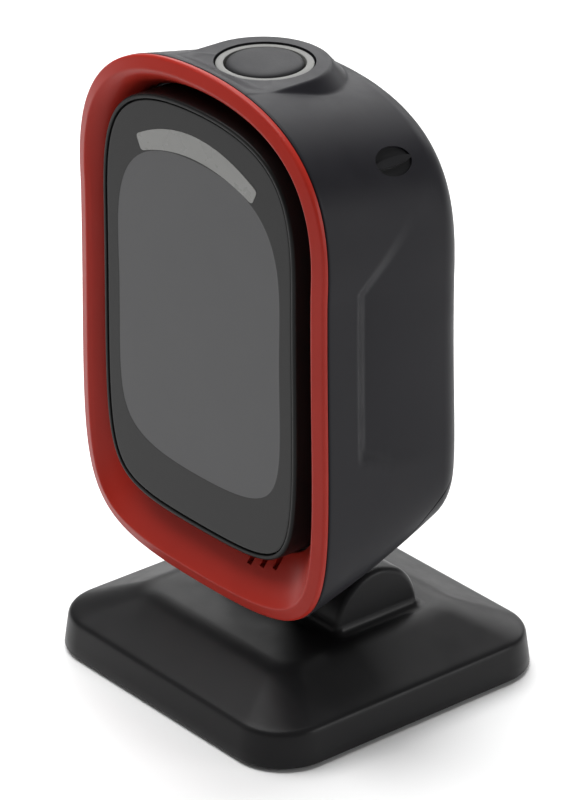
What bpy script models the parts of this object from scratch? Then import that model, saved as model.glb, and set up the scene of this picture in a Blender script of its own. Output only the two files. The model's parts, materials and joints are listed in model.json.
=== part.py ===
"""Desktop presentation barcode scanner: an arched head that tilts on a square weighted base.

Lengths are in millimetres and become metres when a mesh is made. The front faces -Y and the base is
centred on the origin. Heights are drawn from a little above the counter, and the finished assembly is then
lifted so that the soles of its feet rest on z = 0.
"""
import math

import bmesh
import bpy
from mathutils import Matrix, Vector

MM = 0.001
GAP = 0.3                     # clearance kept between neighbouring pieces

# ---- driving dimensions ----------------------------------------------------------------------------
HINGE_Y = 6.0                 # tilt axis, parallel to X
HINGE_Z = 15.0
SHAFT_RADIUS = 3.0

SOLE_Z = -1.6                 # counter level before the assembly is lifted
BASE_BOTTOM = -0.7            # lower edge of the skirt
SKIRT_TOP = 8.0
PLATEAU_Z = 14.0
BASE_HALF = (42.2, 41.2)      # half width and half depth at the skirt's foot
BASE_CORNER = 13.0
BASE_WALL = 2.4
PLATE_Z = (-0.4, 1.4)         # underside and top of the bottom plate
DOME_RADIUS = 12.0
DOME_HALF = 21.5
SLOT_HALF = 8.4               # half width of the slot between the dome's cheeks

RIM_FRONT = -28.4             # crown of the red ring
SEAM_Y = -26.1                # parting line between ring and housing
HEAD_BACK = 14.7
BACK_RADIUS = 6.5             # rounding between the housing's sides and its back
WALL = 2.2
TOP_SLOPE = 0.195             # fall of the crown per millimetre of depth
SIDE_SLOPE = 0.056            # narrowing of each side per millimetre of depth
BELLY_SLOPE = 0.40            # rise of the underside per millimetre of depth
BELLY_CURVE = 0.003           # and per millimetre squared

BUTTON_Y = -8.2
BOSS_Y = -9.4                 # centre of the boss's half-round rear end
BUTTON_TOP = 147.3
BOSS_RADIUS = 14.4
BOSS_TOP = 147.0
RING_TOP = 146.0

SCREW_SITES = ((-27.0, 124.0), (27.0, 124.0), (-31.0, 60.0), (31.0, 60.0))
FOOT_SITE = (31.5, 30.8)
BASE_SCREW_SITE = (21.0, 31.0)
PORT_CENTRE = (0.0, 68.0)     # cable socket in the back wall, x and z
PORT_HALF = (6.8, 5.9)
VIEW_Z = 100.0                # optical axis of the camera

# Front outlines: half width, top, widest height, bottom, then how far each Bezier handle reaches.
RIM = (40.9, 148.7, 108.7, 27.0, 1.13, 0.20, 1.21, 0.90)
FRAME = (33.1, 141.2, 109.7, 39.8, 0.89, 0.62, 1.18, 0.96)
ARC_STEPS = 14                # points in each quarter of an outline

parts = None
cutters = None


# ---- scene and materials ---------------------------------------------------------------------------
def clear_scene():
    for item in list(bpy.data.objects):
        bpy.data.objects.remove(item, do_unlink=True)


def make_collection(name):
    collection = bpy.data.collections.new(name)
    bpy.context.scene.collection.children.link(collection)
    return collection


def make_material(name, colour, roughness, metallic=0.0):
    material = bpy.data.materials.new(name)
    material.use_nodes = True
    shader = material.node_tree.nodes["Principled BSDF"]
    shader.inputs["Base Color"].default_value = (*colour, 1.0)
    shader.inputs["Roughness"].default_value = roughness
    shader.inputs["Metallic"].default_value = metallic
    material.diffuse_color = (*colour, 1.0)
    return material


def add_object(name, mesh, centre=(0, 0, 0), material=None, parent=None, cutter=False):
    """Link a mesh whose vertices are in metres about centre, which is in millimetres."""
    item = bpy.data.objects.new(name, mesh)
    item.location = Vector(centre) * MM
    (cutters if cutter else parts).objects.link(item)
    if cutter:
        item.hide_render = True
        item.display_type = "WIRE"
    if material:
        mesh.materials.append(material)
    if parent:
        attach(item, parent)
    return item


def attach(item, parent):
    item.parent = parent
    item.matrix_parent_inverse = Matrix.Translation(-parent.location)


def boolean(target, other, operation="DIFFERENCE"):
    modifier = target.modifiers.new(f"{operation.lower()} {other.name}", "BOOLEAN")
    modifier.operation = operation
    modifier.object = other
    modifier.solver = "EXACT"


def round_edges(item, width, segments=2, angle=35):
    modifier = item.modifiers.new("rounded edges", "BEVEL")
    modifier.width = width * MM
    modifier.segments = segments
    modifier.limit_method = "ANGLE"
    modifier.angle_limit = math.radians(angle)


def smooth(item, angle=35):
    item.data.shade_smooth()
    item.data.set_sharp_from_angle(angle=math.radians(angle))


# ---- shapes ----------------------------------------------------------------------------------------
def bezier(p0, p1, p2, p3, steps):
    points = []
    for step in range(steps):
        t = step / steps
        u = 1 - t
        weights = (u ** 3, 3 * u * u * t, 3 * u * t * t, t ** 3)
        points.append(sum((w * Vector(p) for w, p in zip(weights, (p0, p1, p2, p3))), Vector((0, 0))))
    return points


def arched_outline(shape, inset=0.0, steps=ARC_STEPS):
    """Closed outline in x and z, clockwise from the crown, moved inwards by inset."""
    half, top, widest, bottom, crown, shoulder, sole, hip = shape
    upper = bezier((0, top), (crown * half, top), (half, widest + shoulder * (top - widest)), (half, widest), steps)
    lower = bezier((half, widest), (half, widest + hip * (bottom - widest)), (sole * half, bottom), (0, bottom), steps)
    right = upper + lower + [Vector((0, bottom))]
    left = [Vector((-p.x, p.y)) for p in right[-2:0:-1]]
    ring = right + left
    if not inset:
        return ring
    moved = []
    for index, point in enumerate(ring):
        along = ring[(index + 1) % len(ring)] - ring[index - 1]
        along.normalize()
        moved.append(point + inset * Vector((along.y, -along.x)))
    return moved


def rounded_rectangle(half_x, half_y, radius, steps=6):
    ring = []
    for corner in range(4):
        sign_x = (1, -1, -1, 1)[corner]
        sign_y = (1, 1, -1, -1)[corner]
        for step in range(steps):
            angle = math.radians(90 * (corner + step / (steps - 1)))
            ring.append(Vector((
                sign_x * (half_x - radius) + radius * math.cos(angle),
                sign_y * (half_y - radius) + radius * math.sin(angle))))
    return ring


def loft(name, rings, centre, loop=False, **options):
    """Skin a stack of rings with equal point counts; loop joins the last ring to the first."""
    mesh = bpy.data.meshes.new(name)
    form = bmesh.new()
    rows = [[form.verts.new((Vector(p) - Vector(centre)) * MM) for p in ring] for ring in rings]
    count = len(rows[0])
    pairs = list(zip(rows, rows[1:] + rows[:1])) if loop else list(zip(rows, rows[1:]))
    for first, second in pairs:
        for i in range(count):
            j = (i + 1) % count
            form.faces.new((first[i], first[j], second[j], second[i]))
    if not loop:
        form.faces.new(rows[0])
        form.faces.new(rows[-1])
    bmesh.ops.recalc_face_normals(form, faces=form.faces)
    form.to_mesh(mesh)
    form.free()
    return add_object(name, mesh, centre, **options)


def box(name, low, high, rotation=None, **options):
    centre = (Vector(low) + Vector(high)) / 2
    size = Vector(high) - Vector(low)
    mesh = bpy.data.meshes.new(name)
    form = bmesh.new()
    bmesh.ops.create_cube(form, size=1.0, matrix=Matrix.Diagonal((*(size * MM), 1.0)))
    form.to_mesh(mesh)
    form.free()
    item = add_object(name, mesh, centre, **options)
    if rotation:
        item.rotation_euler = [math.radians(angle) for angle in rotation]
    return item


def cylinder(name, radius, start, end, sides=24, **options):
    """Round bar between two points given in millimetres."""
    start = Vector(start)
    end = Vector(end)
    mesh = bpy.data.meshes.new(name)
    form = bmesh.new()
    bmesh.ops.create_cone(form, cap_ends=True, segments=sides, radius1=radius * MM, radius2=radius * MM,
                          depth=(end - start).length * MM)
    form.to_mesh(mesh)
    form.free()
    item = add_object(name, mesh, (start + end) / 2, **options)
    item.rotation_euler = (end - start).to_track_quat("Z", "Y").to_euler()
    smooth(item)
    return item


def turned(name, profile, centre, direction=(0, 0, 1), sides=24, **options):
    """Turn a closed profile of (radius, height) points, top to bottom on its outer side."""
    mesh = bpy.data.meshes.new(name)
    closed = profile[0][0] > 0
    points = [(radius * MM, 0.0, height * MM) for radius, height in profile]
    edges = [(i, i + 1) for i in range(len(points) - 1)]
    if closed:
        edges.append((len(points) - 1, 0))
    mesh.from_pydata(points, edges, [])
    item = add_object(name, mesh, centre, **options)
    item.rotation_euler = Vector(direction).to_track_quat("Z", "Y").to_euler()
    spin = item.modifiers.new("turned", "SCREW")
    spin.steps = sides
    spin.render_steps = sides
    spin.use_merge_vertices = True
    spin.merge_threshold = 0.00001
    spin.use_smooth_shade = True
    return item


def as_mesh(curve_object, name, material, parent, cutter=False):
    """Swap a curve object for a welded mesh object in the same place."""
    bpy.context.view_layer.update()
    evaluated = curve_object.evaluated_get(bpy.context.evaluated_depsgraph_get())
    mesh = bpy.data.meshes.new_from_object(evaluated)
    form = bmesh.new()
    form.from_mesh(mesh)
    bmesh.ops.remove_doubles(form, verts=form.verts, dist=0.000005)
    bmesh.ops.recalc_face_normals(form, faces=form.faces)
    form.to_mesh(mesh)
    form.free()
    matrix = curve_object.matrix_world.copy()
    bpy.data.objects.remove(curve_object, do_unlink=True)
    mesh.materials.clear()
    mesh.name = name
    item = add_object(name, mesh, material=material, cutter=cutter)
    item.matrix_world = matrix
    if parent:
        attach(item, parent)
    return item


def plate(name, outline, low, high, plane="XZ", material=None, parent=None, cutter=False):
    """Flat piece with the given outline in plane XY, XZ or YZ, from low to high on the third axis."""
    turns = {"XY": (0, 0, 0), "XZ": (math.pi / 2, 0, 0), "YZ": (math.pi / 2, 0, math.pi / 2)}
    curve = bpy.data.curves.new(name, "CURVE")
    curve.dimensions = "2D"
    curve.fill_mode = "BOTH"
    curve.extrude = (high - low) / 2 * MM
    curve.render_resolution_u = 0
    spline = curve.splines.new("POLY")
    spline.points.add(len(outline) - 1)
    for spot, point in zip(spline.points, outline):
        spot.co = (point[0] * MM, point[1] * MM, 0, 1)
    spline.use_cyclic_u = True
    item = bpy.data.objects.new(name, curve)
    item.rotation_euler = turns[plane]
    middle = (low + high) / 2 * MM
    item.location = {"XY": (0, 0, middle), "XZ": (0, middle, 0), "YZ": (middle, 0, 0)}[plane]
    parts.objects.link(item)
    return as_mesh(item, name, material, parent, cutter)


def strip_outline(path, thickness):
    """Closed outline of a thin band that follows a path of two-number points."""
    path = [Vector(point) for point in path]
    left = []
    right = []
    for index, point in enumerate(path):
        along = path[min(index + 1, len(path) - 1)] - path[max(index - 1, 0)]
        along.normalize()
        side = Vector((-along.y, along.x)) * thickness / 2
        left.append(point + side)
        right.append(point - side)
    return left + right[::-1]


def wire(name, route, radius, material, parent):
    curve = bpy.data.curves.new(name, "CURVE")
    curve.dimensions = "3D"
    curve.bevel_depth = radius * MM
    curve.bevel_resolution = 1
    curve.use_fill_caps = True
    curve.render_resolution_u = 0
    spline = curve.splines.new("POLY")
    spline.points.add(len(route) - 1)
    for spot, point in zip(spline.points, route):
        spot.co = (*(Vector(point) * MM), 1)
    item = bpy.data.objects.new(name, curve)
    parts.objects.link(item)
    return as_mesh(item, name, material, parent)


def soft_route(corners, steps=3):
    """Points along a smooth curve through hand-chosen corners."""
    corners = [Vector(corner) for corner in corners]
    points = []
    padded = [corners[0]] + corners + [corners[-1]]
    for a, b, c, d in zip(padded, padded[1:], padded[2:], padded[3:]):
        for step in range(steps):
            t = step / steps
            points.append(0.5 * (2 * b + (c - a) * t + (2 * a - 5 * b + 4 * c - d) * t ** 2
                                 + (3 * b - a - 3 * c + d) * t ** 3))
    return points + [corners[-1]]


def screw(name, seat, direction, head_radius, shank_radius, length, material, parent):
    """Pan-head screw with a cross recess; seat is the underside of its head."""
    head = head_radius * 0.7
    profile = [(0, head), (head_radius * 0.75, head), (head_radius, head * 0.6), (head_radius, 0),
               (shank_radius, 0), (shank_radius, -length + shank_radius), (0, -length)]
    item = turned(name, profile, seat, direction, sides=12, material=material, parent=parent)
    axis = Vector(direction).normalized()
    top = Vector(seat) + axis * head
    width = head_radius * 0.28
    for turn in (0, 90):
        bar = box(f"{name} recess {turn}", (-head_radius * 0.6, -width / 2, -head * 0.55),
                  (head_radius * 0.6, width / 2, head * 0.55), cutter=True)
        rotation = axis.to_track_quat("Z", "Y") @ Matrix.Rotation(math.radians(turn), 3, "Z").to_quaternion()
        bar.rotation_euler = rotation.to_euler()
        bar.location = top * MM
        boolean(item, bar)
    return item


# ---- base ------------------------------------------------------------------------------------------
def base_rings(inset):
    """Skirt, softened shoulder and four-sided slope, from the foot up to the plateau."""
    half_x, half_y = BASE_HALF
    levels = [
        (BASE_BOTTOM, 0.0, BASE_CORNER), (6.6, 0.8, 12.5), (7.5, 1.1, 12.2), (SKIRT_TOP, 1.7, 11.8),
        (8.5, 2.9, 11.0), (9.2, 4.6, 10.0), (13.2, 14.2, 6.0), (13.8, 16.4, 5.2), (PLATEAU_Z, 18.6, 4.4)]
    rings = []
    for height, narrowing, corner in levels:
        outline = rounded_rectangle(half_x - narrowing - inset, half_y - narrowing - inset,
                                    max(corner - inset, 1.5))
        rings.append([(p.x, p.y, height - inset) for p in outline])
    return rings


def make_base_shell(material):
    shell = loft("base_shell", base_rings(0.0), (0, 0, 0), material=material)
    hollow = loft("base hollow", base_rings(BASE_WALL), (0, 0, 0), cutter=True)
    boolean(shell, hollow)
    dome = cylinder("hinge dome", DOME_RADIUS, (-DOME_HALF, HINGE_Y, HINGE_Z), (DOME_HALF, HINGE_Y, HINGE_Z),
                    sides=48, cutter=True)
    round_edges(dome, 1.2, 2, 60)
    foot = box("dome foot", (-60, -60, -20), (60, 60, 6), cutter=True)
    boolean(dome, foot)
    boolean(shell, dome, "UNION")
    slot = box("hinge slot", (-SLOT_HALF, HINGE_Y - DOME_RADIUS - 0.4, -10),
               (SLOT_HALF, HINGE_Y + DOME_RADIUS + 0.4, 40), cutter=True)
    boolean(shell, slot)
    shaft_room = cylinder("shaft bore", SHAFT_RADIUS + GAP, (-DOME_HALF + 2.0, HINGE_Y, HINGE_Z),
                          (DOME_HALF - 2.0, HINGE_Y, HINGE_Z), cutter=True)
    boolean(shell, shaft_room)
    saddle = box("saddle slot", (-DOME_HALF + 2.0, HINGE_Y - SHAFT_RADIUS - GAP, 0),
                 (DOME_HALF - 2.0, HINGE_Y + SHAFT_RADIUS + GAP, HINGE_Z), cutter=True)
    boolean(shell, saddle)
    for x in (-14.0, 14.0):
        for y in (HINGE_Y - 5.6, HINGE_Y + 5.6):
            pilot = cylinder(f"clamp pilot {x} {y}", 1.3, (x, y, 0), (x, y, 11.6), 12, cutter=True)
            boolean(shell, pilot)
    for x, y in four_sites(BASE_SCREW_SITE):
        post = cylinder(f"screw post {x} {y}", 3.6, (x, y, PLATE_Z[1] + GAP), (x, y, 9.4), 18, cutter=True)
        boolean(shell, post, "UNION")
        pilot = cylinder(f"post pilot {x} {y}", 1.4, (x, y, -2), (x, y, 8.4), 12, cutter=True)
        boolean(shell, pilot)
    smooth(shell)
    return shell


def four_sites(site):
    return [(x, y) for y in (-site[1], site[1]) for x in (-site[0], site[0])]


def make_bottom_plate(material):
    low, high = PLATE_Z
    outline = rounded_rectangle(BASE_HALF[0] - 3.3, BASE_HALF[1] - 3.3, 9.6)
    sheet = plate("base_bottom_plate", outline, low, high, "XY", material)
    for x, y in four_sites(FOOT_SITE):
        pocket = cylinder(f"foot pocket {x} {y}", 4.9, (x, y, low - 2), (x, y, low + 0.8), 18, cutter=True)
        boolean(sheet, pocket)
    for x, y in four_sites(BASE_SCREW_SITE):
        hole = cylinder(f"plate hole {x} {y}", 1.8, (x, y, low - 2), (x, y, high + 2), 14, cutter=True)
        boolean(sheet, hole)
        sink = cylinder(f"plate sink {x} {y}", 3.1, (x, y, low - 2), (x, y, low + 1.0), 18, cutter=True)
        boolean(sheet, sink)
    return sheet


def make_ballast(material):
    floor = PLATE_Z[1] + GAP
    weight = plate("ballast_weight", rounded_rectangle(35.9, 34.9, 9.0), floor, 5.6, "XY", material)
    upper = plate("ballast upper step", rounded_rectangle(29.0, 28.0, 5.0), 5.0, 8.2, "XY", cutter=True)
    boolean(weight, upper, "UNION")
    window = box("ballast window", (-24, HINGE_Y - 14.5, 0), (24, HINGE_Y + 14.5, 12), cutter=True)
    boolean(weight, window)
    for x, y in four_sites(BASE_SCREW_SITE):
        notch = cylinder(f"ballast notch {x} {y}", 4.1, (x, y, 0), (x, y, 12), 18, cutter=True)
        boolean(weight, notch)
    return weight


def make_feet(material):
    profile = [(0, 1.7), (4.2, 1.7), (4.5, 1.4), (4.5, 0.5), (4.0, 0.0), (0, 0)]
    names = ("front_left", "front_right", "rear_left", "rear_right")
    for name, (x, y) in zip(names, four_sites(FOOT_SITE)):
        turned(f"rubber_foot_{name}", profile, (x, y, SOLE_Z), sides=18, material=material)


def make_base_screws(material):
    names = ("front_left", "front_right", "rear_left", "rear_right")
    for name, (x, y) in zip(names, four_sites(BASE_SCREW_SITE)):
        screw(f"base_screw_{name}", (x, y, PLATE_Z[0] + 0.9), (0, 0, -1), 2.0, 1.1, 5.6, material, None)


def make_hinge(steel, fibre):
    end = DOME_HALF - 2.0 - GAP
    shaft = cylinder("hinge_shaft", SHAFT_RADIUS, (-end, HINGE_Y, HINGE_Z), (end, HINGE_Y, HINGE_Z), material=steel)
    round_edges(shaft, 0.4, 1, 60)
    for side, sign in (("left", -1), ("right", 1)):
        axis = (sign, 0, 0)
        ring = [(8.0, 0.5), (8.0, -0.5), (SHAFT_RADIUS + GAP, -0.5), (SHAFT_RADIUS + GAP, 0.5)]
        turned(f"friction_washer_{side}", ring, (sign * 5.85, HINGE_Y, HINGE_Z), axis, material=fibre)
        cup = [(7.4, -0.1), (7.4, -0.6), (SHAFT_RADIUS + GAP, 0.0), (SHAFT_RADIUS + GAP, 0.6)]
        turned(f"spring_washer_{side}", cup, (sign * 7.4, HINGE_Y, HINGE_Z), axis, material=steel)
        inner = SLOT_HALF + 0.6
        outer = DOME_HALF - 2.6
        low = (min(sign * inner, sign * outer), HINGE_Y - 7.4, 3.7)
        high = (max(sign * inner, sign * outer), HINGE_Y + 7.4, 5.7)
        clamp = box(f"shaft_clamp_{side}", low, high, material=fibre)
        tongue = box(f"clamp tongue {side}", (low[0], HINGE_Y - SHAFT_RADIUS, 4.5),
                     (high[0], HINGE_Y + SHAFT_RADIUS, HINGE_Z - SHAFT_RADIUS - GAP), cutter=True)
        boolean(clamp, tongue, "UNION")
        for place, y in (("front", HINGE_Y - 5.6), ("rear", HINGE_Y + 5.6)):
            hole = cylinder(f"clamp hole {side} {place}", 1.3, (sign * 14, y, 0), (sign * 14, y, 9), 12, cutter=True)
            sink = cylinder(f"clamp sink {side} {place}", 2.1, (sign * 14, y, 0), (sign * 14, y, 4.8), 14, cutter=True)
            boolean(clamp, hole)
            boolean(clamp, sink)
            screw(f"clamp_screw_{side}_{place}", (sign * 14, y, 4.7), (0, 0, -1), 1.8, 1.0, 6.0, steel, None)


# ---- head shells -----------------------------------------------------------------------------------
def housing_shape(y):
    """Outline numbers of the housing's section at depth y."""
    depth = max(y - SEAM_Y, -3.0)
    share = max(depth, 0.0) / (HEAD_BACK - SEAM_Y)
    half, top, widest, bottom, crown, shoulder, sole, hip = RIM
    return (
        half + 1.0 - SIDE_SLOPE * depth, top + 1.0 - TOP_SLOPE * depth, widest - 7.5 * share,
        bottom - 1.0 + BELLY_SLOPE * depth + BELLY_CURVE * depth ** 2,
        crown - 0.06 * share, shoulder + 0.12 * share, sole + 0.07 * share, hip + 0.22 * share)


def housing_rings(inset):
    """Sections from in front of the parting line to the rounded back, moved inwards by inset."""
    straight_end = HEAD_BACK - BACK_RADIUS
    rings = [(y, 0.0) for y in (SEAM_Y - 2.0, -18.0, -10.0, -2.0, straight_end)]
    radius = BACK_RADIUS - inset
    for step in range(1, 6):
        angle = math.radians(18 * step)
        rings.append((straight_end + radius * math.sin(angle), radius * (1 - math.cos(angle))))
    return [
        [(p.x, y, p.y) for p in arched_outline(housing_shape(y), inset + narrowing)]
        for y, narrowing in rings]


def boss_outline(y, inset):
    """Half width of the button boss at depth y: straight cheeks and a half-round rear end."""
    radius = BOSS_RADIUS - inset
    if y <= BOSS_Y:
        return radius
    return math.sqrt(max(radius ** 2 - (y - BOSS_Y) ** 2, 0.0))


def crown_height(x, y):
    """Height of the boss: the ring's arch at the parting line, sinking to a flat top at the button."""
    arch = RIM[1] + 1.1 - 0.0062 * x * x
    blend = min(max((y - SEAM_Y) / 9.0, 0.0), 1.0)
    return BOSS_TOP + (arch - BOSS_TOP) * (1 - blend) ** 2 * (1 + 2 * blend)


def make_boss(name, inset, front):
    """Drafted boss: foot ring, top ring, then rows of the top surface from front to rear."""
    mesh = bpy.data.meshes.new(name)
    form = bmesh.new()
    radius = BOSS_RADIUS - inset
    rows = [front, front + 1.5, front + 3.0, front + 4.5, front + 6.5, front + 8.5, BOSS_Y]
    rows += [BOSS_Y + radius * math.sin(math.radians(a)) for a in (18, 36, 54, 69, 80)]
    across = [-1, -0.75, -0.5, -0.25, 0, 0.25, 0.5, 0.75, 1]
    top = []
    foot = []
    for y in rows:
        half = boss_outline(y, inset)
        spread = (half + 3.2) / half if half > 6 else 1.4
        line = [(half * k, y) for k in across]
        top.append([form.verts.new((x * MM, v * MM, (crown_height(x, v) - inset) * MM)) for x, v in line])
        back = 3.0 * max((y - BOSS_Y) / radius, 0)
        foot.append([form.verts.new((x * spread * MM, (v + back) * MM, 128 * MM)) for x, v in line])
    for grid, flip in ((top, False), (foot, True)):
        for first, second in zip(grid, grid[1:]):
            for a, b, c, d in zip(first, first[1:], second[1:], second):
                form.faces.new((a, b, c, d) if not flip else (d, c, b, a))
    for end in (0, -1):
        for i in range(len(across) - 1):
            form.faces.new((top[end][i], top[end][i + 1], foot[end][i + 1], foot[end][i]))
    for column in (0, -1):
        for i in range(len(rows) - 1):
            form.faces.new((top[i][column], top[i + 1][column], foot[i + 1][column], foot[i][column]))
    bmesh.ops.recalc_face_normals(form, faces=form.faces)
    form.to_mesh(mesh)
    form.free()
    return add_object(name, mesh, cutter=True)


def side_hole_axis(sign):
    """Centre on the shoulder's surface and outward direction of the oval side hole."""
    return Vector((sign * 34.0, -1.6, 133.0)), Vector((sign * 0.76, 0, 0.65)).normalized()


def oval_cutter(name, half_long, half_short, sign, depth_from, depth_to, **options):
    """Oval bar along the side hole's axis, long side front to back."""
    centre, outward = side_hole_axis(sign)
    across = outward.cross(Vector((0, 1, 0)))
    rings = []
    for depth in (depth_from, depth_to):
        ring = []
        for step in range(24):
            angle = 2 * math.pi * step / 24
            ring.append(centre - outward * depth + Vector((0, half_long * math.cos(angle), 0))
                        + across * half_short * math.sin(angle))
        rings.append(ring)
    return loft(name, rings, centre, **options)


def grip_cutter(sign):
    """Shallow scoop in the side: full depth at its front edge, fading out towards the back."""
    floor = [(-16.0, 70.4), (-16.0, 109.2), (-6.6, 118.0), (8.0, 122.5), (8.0, 64.0), (-9.0, 66.6)]
    mouth = [(-17.7, 69.2), (-17.7, 110.2), (-7.6, 119.9), (8.0, 124.9), (8.0, 62.0), (-9.4, 64.7)]
    rings = []
    for outline, raised in ((floor, 0.0), (mouth, 1.6)):
        ring = []
        for y, z in outline:
            surface = 41.9 - 0.058 * (y + 16.0) - 0.011 * (z - 66.0)
            sink = 0.95 * (1 - (y + 16.0) / 20.0)
            ring.append((sign * (surface - sink + raised), y, z))
        rings.append(ring)
    return loft(f"grip scoop {sign}", rings, (sign * 42, 0, 90), cutter=True)


def cover_region(shift):
    """Wedge that holds the rear bottom cover; shift moves its parting plane down."""
    outline = [(-22.0, 23.4 - shift), (22.0, 66.1 - shift), (22.0, 10.0), (-22.0, 10.0)]
    return plate(f"cover wedge {shift}", outline, -60, 60, "YZ", cutter=True)


def housing_blank(name, material, pivot):
    """Whole hollow head shell before it is split into the housing and the bottom cover."""
    blank = loft(name, housing_rings(0.0), (0, HINGE_Y, HINGE_Z), material=material, parent=pivot)
    boolean(blank, bpy.data.objects["boss outside"], "UNION")
    boolean(blank, bpy.data.objects["head hollow"])
    boolean(blank, bpy.data.objects["boss inside"])
    boolean(blank, bpy.data.objects["front trim"])
    return blank


def make_head_cutters():
    make_boss("boss outside", 0.0, SEAM_Y - 1.6)
    make_boss("boss inside", WALL, SEAM_Y - 3.0)
    hollow = loft("head hollow", housing_rings(WALL), (0, 0, 90), cutter=True)
    for index, (x, z) in enumerate(SCREW_SITES):
        tube = cylinder(f"screw tube {index}", 5.0, (x, 5.2, z), (x, 30, z), cutter=True)
        boolean(hollow, tube)
    box("front trim", (-80, -60, 0), (80, SEAM_Y, 200), cutter=True)


def make_rear_housing(material, pivot):
    housing = housing_blank("rear_housing", material, pivot)
    boolean(housing, cover_region(0.0))
    bore = cylinder("button bore", 11.2, (0, BUTTON_Y, 140), (0, BUTTON_Y, 160), 40, cutter=True)
    boolean(housing, bore)
    room = cylinder("light ring room", 12.0, (0, BUTTON_Y, 138), (0, BUTTON_Y, 144.7), 40, cutter=True)
    boolean(housing, room)
    for index, (x, z) in enumerate(SCREW_SITES):
        sink = cylinder(f"screw sink {index}", 3.3, (x, 8.0, z), (x, 30, z), 20, cutter=True)
        hole = cylinder(f"screw hole {index}", 1.7, (x, 0, z), (x, 30, z), 14, cutter=True)
        boolean(housing, sink)
        boolean(housing, hole)
    for sign in (-1, 1):
        boolean(housing, oval_cutter(f"side hole {sign}", 5.0, 3.6, sign, -8.0, 6.0, cutter=True))
        boolean(housing, grip_cutter(sign))
    x, z = PORT_CENTRE
    port = box("port opening", (x - PORT_HALF[0], 5, z - PORT_HALF[1]), (x + PORT_HALF[0], 30, z + PORT_HALF[1]),
               cutter=True)
    boolean(housing, port)
    smooth(housing, 40)
    return housing


def make_bottom_cover(material, pivot):
    cover = housing_blank("bottom_cover", material, pivot)
    boolean(cover, cover_region(GAP * 1.4), "INTERSECT")
    neck_room = box("neck room", (-5.5, HINGE_Y - 6.5, 20), (5.5, HINGE_Y + 6.5, 60), cutter=True)
    boolean(cover, neck_room)
    smooth(cover, 40)
    return cover


def make_front_bezel(material, pivot):
    """Red ring: rounded nose, crowned band, cone down to the window frame and a tongue into the housing."""
    stations = [
        (RIM, -1.0, SEAM_Y - GAP), (RIM, -0.95, SEAM_Y - 1.1), (RIM, -0.6, -27.9), (RIM, 0.2, RIM_FRONT + 0.15),
        (RIM, 1.5, RIM_FRONT), (RIM, 2.7, RIM_FRONT + 0.2), (RIM, 3.2, RIM_FRONT + 0.7),
        (FRAME, -0.5, -21.0), (FRAME, -0.5, -19.0), (RIM, 3.9, -24.2), (RIM, 2.4, -24.2),
        (RIM, 2.4, SEAM_Y - GAP)]
    rings = [[(p.x, y, p.y) for p in arched_outline(shape, inset)] for shape, inset, y in stations]
    bezel = loft("front_bezel", rings, (0, HINGE_Y, HINGE_Z), loop=True, material=material, parent=pivot)
    for x in (13.0, 17.0, 21.0):
        height = 35.4 + 0.0065 * x * x
        slot = box(f"sound slot {x}", (x - 0.75, -30, height - 1.0), (x + 0.75, -10, height + 2.6), cutter=True)
        boolean(bezel, slot)
    smooth(bezel, 45)
    return bezel


def make_window_frame(material, pivot):
    """Black frame that carries the window, with a rear flange and four screw bosses."""
    stations = [
        (0.0, -18.7), (0.0, -27.7), (0.35, -28.1), (1.1, -28.1), (1.1, -26.1), (4.0, -26.1), (4.0, -16.6),
        (-2.2, -16.6), (-2.2, -18.7)]
    rings = [[(p.x, y, p.y) for p in arched_outline(FRAME, inset)] for inset, y in stations]
    frame = loft("window_frame", rings, (0, HINGE_Y, HINGE_Z), loop=True, material=material, parent=pivot)
    for index, (x, z) in enumerate(SCREW_SITES):
        post = cylinder(f"frame post {index}", 3.2, (x, -17.6, z), (x, 4.8, z), 16, cutter=True)
        boolean(frame, post, "UNION")
        pilot = cylinder(f"frame pilot {index}", 1.6, (x, -8.0, z), (x, 10, z), 12, cutter=True)
        boolean(frame, pilot)
    button_room = cylinder("button room", 12.2, (0, BUTTON_Y, 136.5), (0, BUTTON_Y, 160), 36, cutter=True)
    boolean(frame, button_room)
    smooth(frame, 40)
    return frame


def make_window(material, pivot):
    stations = [(1.7, -27.9), (1.4, -27.7), (1.4, -26.4)]
    rings = [[(p.x, y, p.y) for p in arched_outline(FRAME, inset)] for inset, y in stations]
    window = loft("scan_window", rings, (0, HINGE_Y, HINGE_Z), material=material, parent=pivot)
    smooth(window)
    return window


def arc_band(half_width, upper, lower, upper_drop, lower_drop, steps=12):
    """Outline of a bar whose upper and lower edges are shallow arcs falling towards its ends."""
    shares = [-1 + 2 * i / steps for i in range(steps + 1)]
    top = [(half_width * s, upper - upper_drop * s * s) for s in shares]
    bottom = [((half_width - 1.6) * s, lower - lower_drop * s * s) for s in reversed(shares)]
    return top + bottom


def make_light_guide(material, pivot):
    guide = plate("status_light_guide", arc_band(21.3, 135.1, 128.4, 6.0, 4.0), -26.0, -19.5, "XZ", material, pivot)
    return guide


def make_tilt_neck(material, pivot):
    """Hinge barrel, stem through the bottom cover and a sloped flange inside the head."""
    neck = cylinder("tilt_neck", 9.0, (-5, HINGE_Y, HINGE_Z), (5, HINGE_Y, HINGE_Z), 36, material=material,
                    parent=pivot)
    stem = box("neck stem", (-5, HINGE_Y - 5.8, HINGE_Z + 2), (5, HINGE_Y + 5.8, 47), cutter=True)
    boolean(neck, stem, "UNION")
    flange = box("neck flange", (-16, -6.5, 43.3), (16, 10.5, 46.3), (30, 0, 0), cutter=True)
    boolean(neck, flange, "UNION")
    bore = cylinder("neck bore", SHAFT_RADIUS + GAP, (-20, HINGE_Y, HINGE_Z), (20, HINGE_Y, HINGE_Z), cutter=True)
    boolean(neck, bore)
    return neck


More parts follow.
